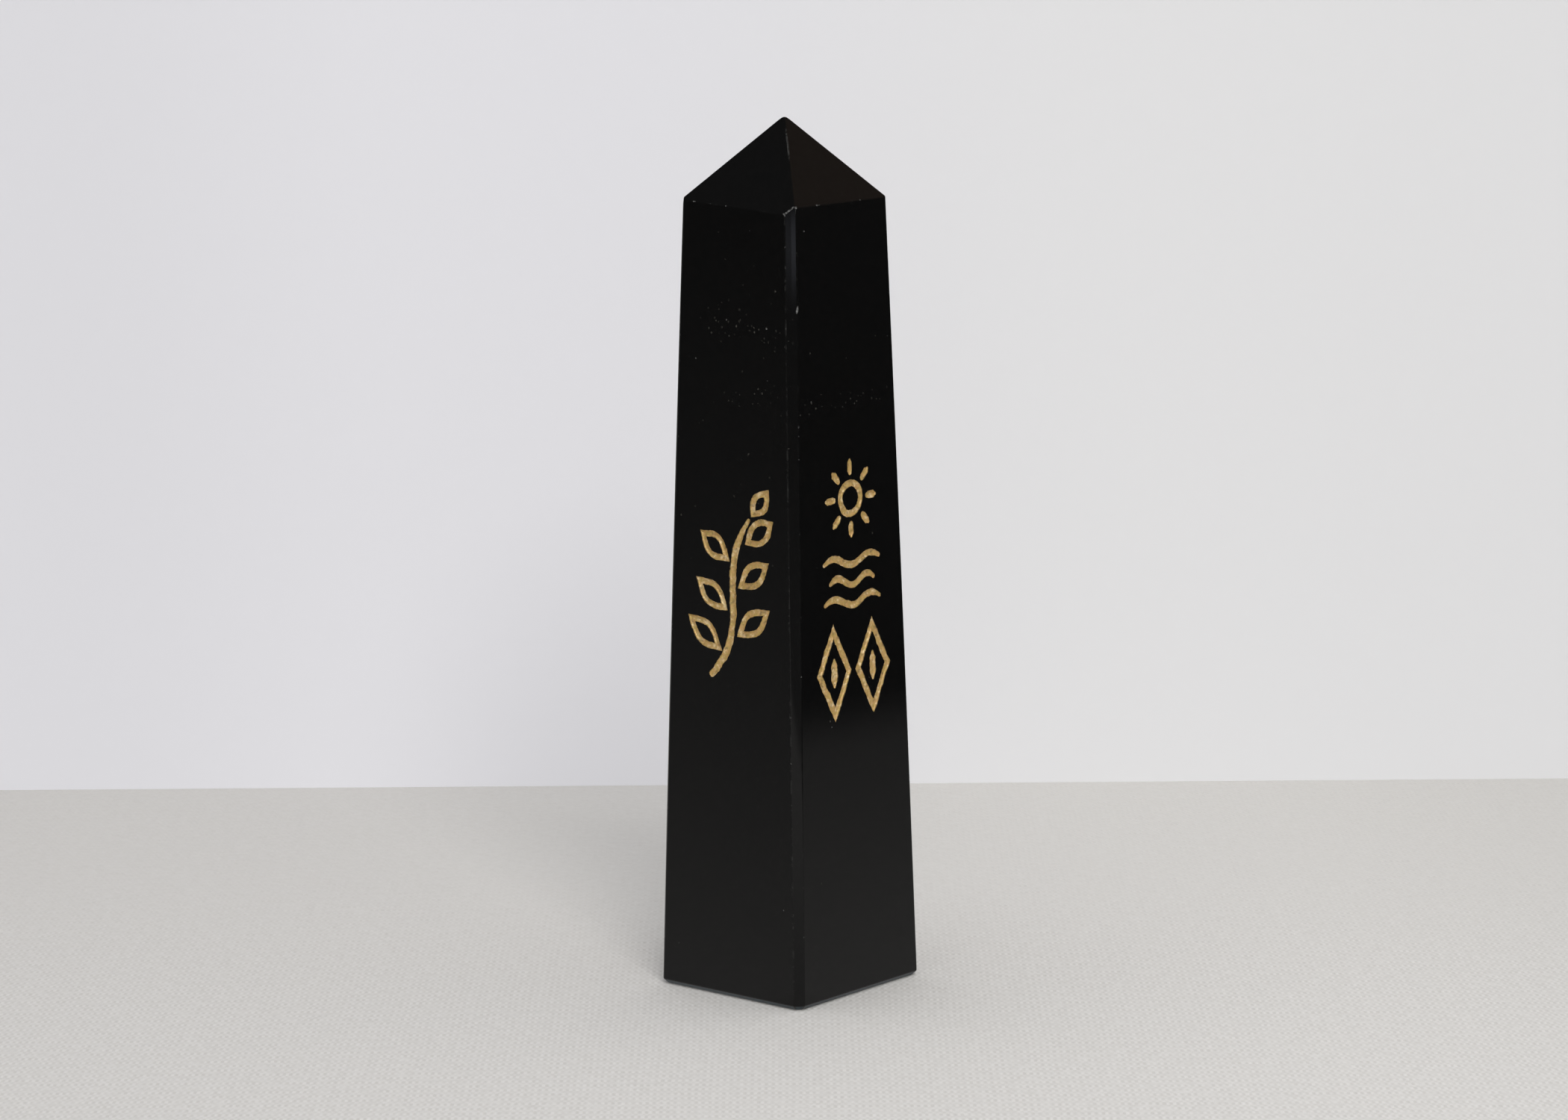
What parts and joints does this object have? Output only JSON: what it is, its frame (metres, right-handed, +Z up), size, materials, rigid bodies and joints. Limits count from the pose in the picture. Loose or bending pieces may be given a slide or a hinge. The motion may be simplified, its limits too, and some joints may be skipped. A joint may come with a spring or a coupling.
{
  "type": "engraved stone obelisk",
  "caption": "Free-standing tapered square obelisk of polished black stone, with a low point, a bevelled foot and gold-painted engraved ornaments.",
  "frame": {"origin": "middle of the foot, on the surface that the obelisk stands on", "axes": "+Z up along the obelisk; -Y towards the face with the sprig (front), +X towards the face with the sun (right)"},
  "size_m": [0.0214, 0.022, 0.1],
  "materials": {
    "black_stone": "mirror-polished black stone with faint mineral specks, small white chips along its edges",
    "gold_paint": "satin metallic gold paint, slightly grainy, in hand-cut grooves"
  },
  "bodies": {
    "root": {"stone_obelisk": "black_stone", "gold_sprig_stem": "gold_paint", "gold_sprig_leaf_1": "gold_paint", "gold_sprig_leaf_2": "gold_paint", "gold_sprig_leaf_3": "gold_paint", "gold_sprig_leaf_4": "gold_paint", "gold_sprig_leaf_5": "gold_paint", "gold_sprig_leaf_6": "gold_paint", "gold_sprig_bud": "gold_paint", "gold_sun_ring": "gold_paint", "gold_sun_ray_1": "gold_paint", "gold_sun_ray_2": "gold_paint", "gold_sun_ray_3": "gold_paint", "gold_sun_ray_4": "gold_paint", "gold_sun_ray_5": "gold_paint", "gold_sun_ray_6": "gold_paint", "gold_sun_ray_7": "gold_paint", "gold_sun_ray_8": "gold_paint", "gold_wave_1": "gold_paint", "gold_wave_2": "gold_paint", "gold_wave_3": "gold_paint", "gold_lozenge_left": "gold_paint", "gold_seed_left": "gold_paint", "gold_lozenge_right": "gold_paint", "gold_seed_right": "gold_paint", "gold_rosette_ring": "gold_paint", "gold_rosette_petal_1": "gold_paint", "gold_rosette_petal_2": "gold_paint", "gold_rosette_petal_3": "gold_paint", "gold_rosette_petal_4": "gold_paint", "gold_rosette_petal_5": "gold_paint", "gold_rosette_petal_6": "gold_paint", "gold_rosette_petal_7": "gold_paint", "gold_rosette_petal_8": "gold_paint", "gold_pool_wave_1": "gold_paint", "gold_pool_wave_2": "gold_paint", "gold_moon": "gold_paint", "gold_star_1": "gold_paint", "gold_star_2": "gold_paint", "gold_star_3": "gold_paint", "gold_hill_high": "gold_paint", "gold_hill_low": "gold_paint", "gold_lake_wave_1": "gold_paint", "gold_lake_wave_2": "gold_paint", "gold_lake_wave_3": "gold_paint"}
  },
  "joints": []
}
